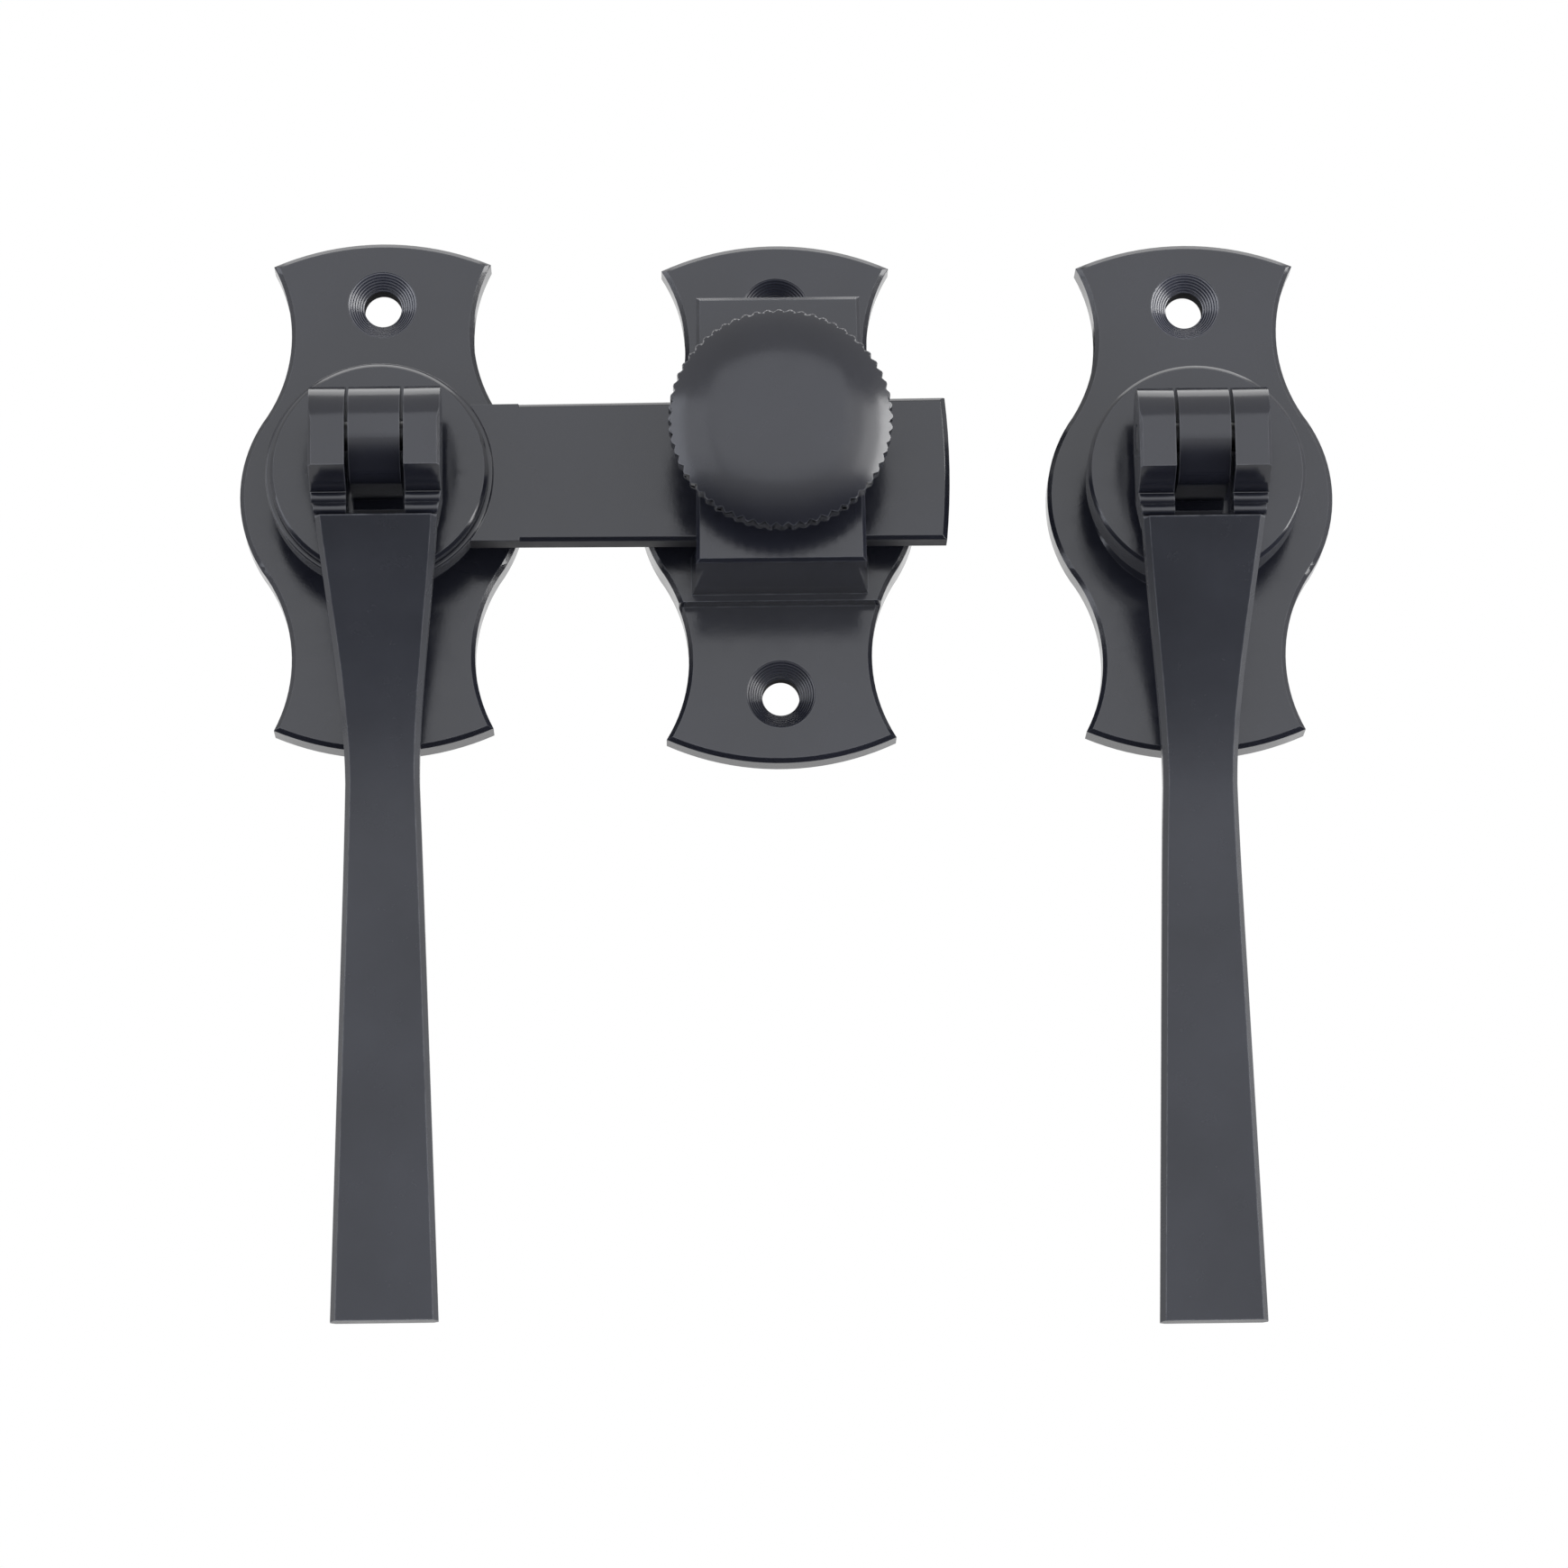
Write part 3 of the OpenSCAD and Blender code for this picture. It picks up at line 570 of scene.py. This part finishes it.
class FASTENER_OT_clamp_knob(bpy.types.Operator):
    """Finish the domed knob with its knurled rim"""
    bl_idname = "fastener.clamp_knob"
    bl_label = "Clamp knob"

    def execute(self, context):
        knob = cast_copy("clamp_knob", "clamp_knob_turned")
        low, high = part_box("clamp_knob")
        top = Vector((KNOB_AXIS[0], low[1], KNOB_AXIS[1]))
        crown = self.turn_crown(top, (high[0] - low[0]) / 2)
        self.cut_with(crown, self.knurl(top), "INTERSECT")
        self.cut_with(knob, crown, "UNION")
        round_edges(knob, KNOB_EDGE_ROUND)
        fit(knob, "clamp_grip", ["clamp_knob"], "knob coat")
        return {"FINISHED"}

    def turn_crown(self, top, radius):
        """The full crown of the knob, which rolls off towards its rim, drawn in from the rim in rings."""
        crown = self.add_prism(192, radius, CROWN_FOOT, top + Vector((0, CROWN_RISE + CROWN_FOOT / 2, 0)))
        self.start_selection("FACE")
        for face in crown.data.polygons:
            face.select = len(face.vertices) > 4 and face.normal.y < -0.9
        bpy.ops.object.mode_set(mode="EDIT")
        share, height = 1.0, 0.0
        for ring in range(1, CROWN_RINGS):
            new_share = math.cos(math.pi / 2 * (ring / CROWN_RINGS) ** CROWN_SPACING)
            new_height = CROWN_RISE * (1 - new_share ** CROWN_FULLNESS)
            step = (0, height - new_height, 0)
            bpy.ops.mesh.extrude_region_move(TRANSFORM_OT_translate={"value": step})
            scale = new_share / share
            bpy.ops.transform.resize(value=(scale, 1, scale), center_override=top)
            share, height = new_share, new_height
        bpy.ops.object.mode_set(mode="OBJECT")
        return crown

    def knurl(self, top):
        """A toothed prism, whose every second corner is drawn in."""
        prism = self.add_prism(2 * KNURL_TEETH, KNURL_TIP, KNURL_DEPTH, top)
        self.start_selection("VERT")
        for corner in prism.data.vertices:
            turn = math.atan2(corner.co.z - top.z, corner.co.x - top.x)
            corner.select = round(turn / math.pi * KNURL_TEETH) % 2 == 1
        bpy.ops.object.mode_set(mode="EDIT")
        scale = KNURL_ROOT / KNURL_TIP
        bpy.ops.transform.resize(value=(scale, 1, scale), center_override=top)
        bpy.ops.object.mode_set(mode="OBJECT")
        return prism

    def add_prism(self, sides, radius, depth, middle):
        """A prism along the door's normal, with its place and turn applied."""
        deselect()
        bpy.ops.mesh.primitive_cylinder_add(vertices=sides, radius=radius, depth=depth, end_fill_type="NGON",
                                            rotation=(math.radians(90), 0, 0), location=middle)
        bpy.ops.object.transform_apply(location=True, rotation=True, scale=True)
        return bpy.context.object

    def start_selection(self, kind):
        """Clears the selection in the active mesh, ready for faces or corners to be selected."""
        bpy.ops.object.mode_set(mode="EDIT")
        bpy.ops.mesh.select_mode(type=kind)
        bpy.ops.mesh.select_all(action="DESELECT")
        bpy.ops.object.mode_set(mode="OBJECT")

    def cut_with(self, piece, tool, operation):
        """Joins or cuts piece with tool, and drops the tool."""
        activate(piece)
        joined = piece.modifiers.new("Join", "BOOLEAN")
        joined.operation = operation
        joined.solver = "EXACT"
        joined.object = tool
        bpy.ops.object.modifier_apply(modifier=joined.name)
        bpy.data.objects.remove(tool)


class FASTENER_OT_hidden_parts(bpy.types.Operator):
    """Give the pins, springs, washers and screws their steel"""
    bl_idname = "fastener.hidden_parts"
    bl_label = "Pins, springs and screws"

    def execute(self, context):
        for node, material in HIDDEN_PARTS.items():
            part = frame["nodes"][node]
            part.data.materials.clear()
            part.data.materials.append(finish_of(material))
        return {"FINISHED"}


def towards(azimuth, elevation):
    """The direction out from the fastener. Azimuth 0 is in front, and 90 is to the right."""
    a, e = math.radians(azimuth), math.radians(elevation)
    return Vector((math.sin(a) * math.cos(e), -math.cos(a) * math.cos(e), math.sin(e)))


def area_lamp(name, azimuth, elevation, distance, size, radiance, color):
    """A soft box that faces the fastener, as bright as radiance times a white surface."""
    out = towards(azimuth, elevation)
    lamp = bpy.data.lights.new(name, "AREA")
    lamp.shape = "RECTANGLE"
    lamp.size, lamp.size_y = size
    lamp.energy = radiance * math.pi * size[0] * size[1]
    lamp.color = color
    holder = bpy.data.objects.new(name, lamp)
    holder.location = LAMP_TARGET + out * distance
    holder.rotation_mode = "QUATERNION"
    holder.rotation_quaternion = (-out).to_track_quat("-Z", "Y")
    holder.visible_camera = False
    bpy.context.scene.collection.objects.link(holder)


class FASTENER_OT_stage(bpy.types.Operator):
    """Set up the pale floor, the soft lamps, the world and the camera"""
    bl_idname = "fastener.stage"
    bl_label = "Floor, lamps and camera"

    def execute(self, context):
        scene = context.scene
        stage = scene.fastener_stage
        scene.view_settings.view_transform = "Standard"
        self.lay_floor(stage)
        self.light_world(scene)
        for lamp in LAMPS:
            area_lamp(*lamp)
        self.hang_cards()
        self.place_camera(scene, stage)
        return {"FINISHED"}

    def lay_floor(self, stage):
        """A pale floor that keeps its shadow, and is an even pale field in reflections."""
        deselect()
        bpy.ops.mesh.primitive_plane_add(size=6, location=(0, 0, -stage.floor_drop))
        floor = bpy.context.object
        floor.name = "Floor"
        material, shader = new_material("pale_floor")
        tree = material.node_tree
        place = add_node(tree, "ShaderNodeTexCoord")
        tone = clouded(tree, noise(tree, place, scale=6, detail=2), stage.floor_color, 0.97, 1.0)
        tree.links.new(tone, shader.inputs["Base Color"])
        shader.inputs["Roughness"].default_value = 0.7
        pale = add_node(tree, "ShaderNodeEmission", Color=(*WHITE, 1), Strength=FLOOR_AS_REFLECTED)
        path = add_node(tree, "ShaderNodeLightPath")
        seen = add_node(tree, "ShaderNodeMixShader")
        tree.links.new(path.outputs["Is Glossy Ray"], seen.inputs["Fac"])
        tree.links.new(shader.outputs["BSDF"], seen.inputs[1])
        tree.links.new(pale.outputs["Emission"], seen.inputs[2])
        tree.links.new(seen.outputs["Shader"], tree.nodes["Material Output"].inputs["Surface"])
        material.cycles.emission_sampling = "NONE"
        floor.data.materials.append(material)

    def hang_cards(self):
        """Cards under the front soft box and over the fastener, which only reflections see."""
        low = self.hang_card("Low card", (1.8, 1.22), (55 * MM, -0.51, -0.34))
        low.data.materials.append(graded_card())
        high = self.hang_card("High card", (2.4, 1.7), (55 * MM, 1.33, 0.62))
        high.data.materials.append(finish_of("dark felt"))

    def hang_card(self, name, size, place):
        """A level card of that size, which casts no shadow and which the camera doesn't see."""
        deselect()
        bpy.ops.mesh.primitive_plane_add(size=1, location=(0, 0, 0))
        card = bpy.context.object
        card.name = name
        bpy.ops.object.mode_set(mode="EDIT")
        bpy.ops.mesh.select_all(action="SELECT")
        bpy.ops.transform.resize(value=(*size, 1.0))
        bpy.ops.transform.translate(value=place)
        bpy.ops.object.mode_set(mode="OBJECT")
        card.visible_camera = False
        card.visible_diffuse = False
        card.visible_shadow = False
        return card

    def light_world(self, scene):
        """A white world, which is dimmer on matte surfaces than where it is seen."""
        world = bpy.data.worlds.new("Studio")
        scene.world = world
        world.use_nodes = True
        world.cycles.sampling_method = "NONE"
        tree = world.node_tree
        sky = tree.nodes["Background"]
        sky.inputs["Color"].default_value = (*WHITE, 1)
        path = add_node(tree, "ShaderNodeLightPath")
        seen = math_node(tree, "MAXIMUM", path.outputs["Is Camera Ray"], path.outputs["Is Glossy Ray"])
        seen = math_node(tree, "MAXIMUM", seen, path.outputs["Is Transmission Ray"])
        level = add_node(tree, "ShaderNodeMapRange")
        level.inputs["To Min"].default_value = WORLD_ON_SURFACES
        level.inputs["To Max"].default_value = WORLD_AS_SEEN
        tree.links.new(seen, level.inputs["Value"])
        tree.links.new(level.outputs["Result"], sky.inputs["Strength"])

    def place_camera(self, scene, stage):
        """The camera that looks up at the fastener from below its middle."""
        camera = bpy.data.cameras.new("Camera")
        camera.lens = stage.lens
        camera.sensor_width = 36
        camera.clip_start, camera.clip_end = 0.05, 20
        holder = bpy.data.objects.new("Camera", camera)
        pitch, yaw, roll = (math.radians(d) for d in CAMERA_TURN)
        right = Vector((math.cos(yaw), math.sin(yaw), 0))
        ahead = Vector((-math.sin(yaw), math.cos(yaw), 0))
        up = Vector((0, 0, 1))
        view = ahead * math.cos(pitch) + up * math.sin(pitch)
        top = up * math.cos(pitch) - ahead * math.sin(pitch)
        side = right * math.cos(roll) + top * math.sin(roll)
        top = top * math.cos(roll) - right * math.sin(roll)
        turn = Matrix((side, top, -view)).transposed().to_4x4()
        holder.matrix_world = Matrix.Translation(CAMERA_PLACE) @ turn
        scene.collection.objects.link(holder)
        scene.camera = holder


class FASTENER_PT_panel(bpy.types.Panel):
    """Lists the fastener's pieces and its stage"""
    bl_idname = "FASTENER_PT_panel"
    bl_label = "French door fastener"
    bl_space_type = "VIEW_3D"
    bl_region_type = "UI"
    bl_category = "Fastener"

    def draw(self, context):
        layout = self.layout
        for group in (context.scene.fastener_finish, context.scene.fastener_stage):
            box = layout.box()
            for key in group.bl_rna.properties.keys():
                if key not in ("rna_type", "name"):
                    box.prop(group, key)
        for piece in OPERATORS:
            layout.operator(piece.bl_idname)


GROUPS = (FastenerFinish, FastenerStage)
OPERATORS = (
    FASTENER_OT_backplates,
    FASTENER_OT_bosses,
    FASTENER_OT_latch_bar,
    FASTENER_OT_handles,
    FASTENER_OT_keeper,
    FASTENER_OT_clamp_knob,
    FASTENER_OT_hidden_parts,
    FASTENER_OT_stage,
)


def register():
    for made in (*GROUPS, *OPERATORS, FASTENER_PT_panel):
        bpy.utils.register_class(made)
    bpy.types.Scene.fastener_finish = PointerProperty(type=FastenerFinish)
    bpy.types.Scene.fastener_stage = PointerProperty(type=FastenerStage)


def unregister():
    del bpy.types.Scene.fastener_stage
    del bpy.types.Scene.fastener_finish
    for made in (FASTENER_PT_panel, *reversed(OPERATORS), *reversed(GROUPS)):
        bpy.utils.unregister_class(made)


def main():
    register()
    for piece in OPERATORS:
        group, name = piece.bl_idname.split(".")
        getattr(getattr(bpy.ops, group), name)()


if __name__ == "__main__":
    main()
